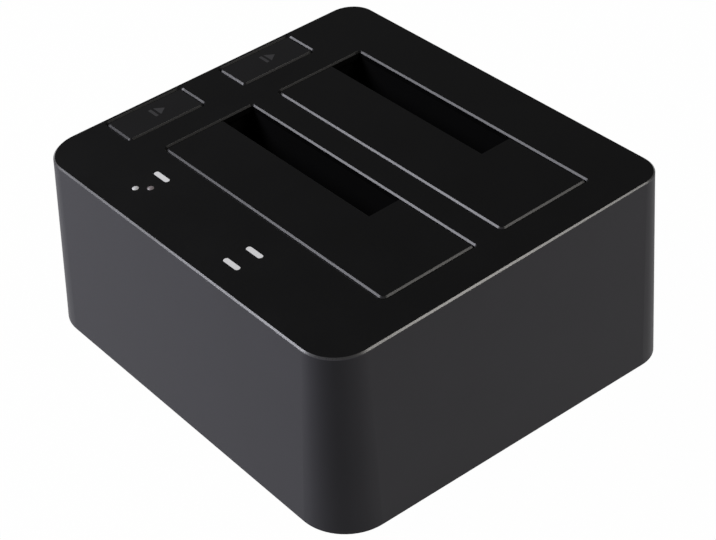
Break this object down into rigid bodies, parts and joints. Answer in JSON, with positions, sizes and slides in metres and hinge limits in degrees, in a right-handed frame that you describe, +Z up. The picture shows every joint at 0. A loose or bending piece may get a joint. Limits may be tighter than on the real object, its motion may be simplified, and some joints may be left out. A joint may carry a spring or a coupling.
{
  "type": "hard drive docking station",
  "caption": "Desktop dock with a sloped top: sprung flap bays hold upright drives on keyed connectors, side push buttons lift them out, and the rear has data, power and a rocker switch.",
  "frame": {"origin": "on the desk, below the middle of the housing's bottom edge", "axes": "+X to the right along the front wall, +Y to the rear, +Z up"},
  "size_m": [0.152, 0.135, 0.0685],
  "materials": {
    "shell_plastic": "fine satin texture, black",
    "base_plastic": "matt black",
    "well_plastic": "matt black",
    "flap_plastic": "fine satin texture, black",
    "button_plastic": "satin black",
    "steel": "drawn wire and turned steel",
    "lever_plastic": "natural slippery plastic",
    "board_green": "solder mask",
    "socket_plastic": "matt black",
    "contact_gold": "gold flash",
    "port_steel": "bright tinned sheet",
    "port_blue": "satin",
    "chip_black": "moulded package",
    "capacitor_sleeve": "shrink sleeve",
    "led_white": "gloss",
    "pipe_clear": "frosted clear",
    "foot_rubber": "matt"
  },
  "bodies": {
    "housing": {"upper_shell": "shell_plastic", "base_plate": "base_plastic", "front_bay_well": "well_plastic", "rear_bay_well": "well_plastic", "front_flap_pin": "steel", "rear_flap_pin": "steel", "front_flap_spring": "steel", "rear_flap_spring": "steel", "front_lever_pin": "steel", "rear_lever_pin": "steel", "front_button_spring": "steel", "rear_button_spring": "steel", "main_board": "board_green", "front_sata_socket": "socket_plastic", "rear_sata_socket": "socket_plastic", "sata_contacts": "contact_gold", "usb_port_shell": "port_steel", "usb_port_insert": "port_blue", "dc_jack_body": "socket_plastic", "dc_jack_pin": "contact_gold", "power_switch_body": "socket_plastic", "bridge_chip": "chip_black", "power_inductor": "chip_black", "capacitors": "capacitor_sleeve", "status_leds": "led_white", "light_pipes": "pipe_clear", "rubber_feet": "foot_rubber", "case_screws": "steel", "board_screws": "steel"},
    "front_flap": {"front_flap": "flap_plastic"},
    "rear_flap": {"rear_flap": "flap_plastic"},
    "front_button": {"front_eject_button": "button_plastic"},
    "rear_button": {"rear_eject_button": "button_plastic"},
    "front_lever": {"front_eject_lever": "lever_plastic"},
    "rear_lever": {"rear_eject_lever": "lever_plastic"},
    "switch_rocker": {"power_switch_rocker": "button_plastic"}
  },
  "joints": [
    {"name": "front_flap_hinge", "type": "hinge", "parent": "housing", "child": "front_flap", "pos_m": [0.007, -0.0325, 0.05999], "axis": [-1, 0, 0], "range_deg": [0, 86], "stiffness_Nm_per_rad": 0.006, "springref_deg": -34.38, "deforming": ["front_flap_spring"]},
    {"name": "rear_flap_hinge", "type": "hinge", "parent": "housing", "child": "rear_flap", "pos_m": [0.007, 0.0121, 0.06207], "axis": [-1, 0, 0], "range_deg": [0, 86], "stiffness_Nm_per_rad": 0.006, "springref_deg": -34.38, "deforming": ["rear_flap_spring"]},
    {"name": "front_button_slide", "type": "slide", "parent": "housing", "child": "front_button", "axis": [0, 0, -1], "range_m": [0, 0.005], "stiffness_N_per_m": 300, "springref_m": -0.004, "deforming": ["front_button_spring"]},
    {"name": "rear_button_slide", "type": "slide", "parent": "housing", "child": "rear_button", "axis": [0, 0, -1], "range_m": [0, 0.005], "stiffness_N_per_m": 300, "springref_m": -0.004, "deforming": ["rear_button_spring"]},
    {"name": "front_lever_pivot", "type": "hinge", "parent": "housing", "child": "front_lever", "pos_m": [-0.053, -0.0181, 0.0125], "axis": [0, -1, 0], "range_deg": [0, 23.6]},
    {"name": "rear_lever_pivot", "type": "hinge", "parent": "housing", "child": "rear_lever", "pos_m": [-0.053, 0.0265, 0.0125], "axis": [0, -1, 0], "range_deg": [0, 23.6]},
    {"name": "power_switch_pivot", "type": "hinge", "parent": "housing", "child": "switch_rocker", "pos_m": [-0.026, 0.0629, 0.0131], "axis": [0, 0, 1], "range_deg": [-18, 0]}
  ],
  "couplings": [
    {"joint": "front_lever_pivot", "follows": "front_button_slide", "rad_per_m": 82.305},
    {"joint": "rear_lever_pivot", "follows": "rear_button_slide", "rad_per_m": 82.305}
  ]
}
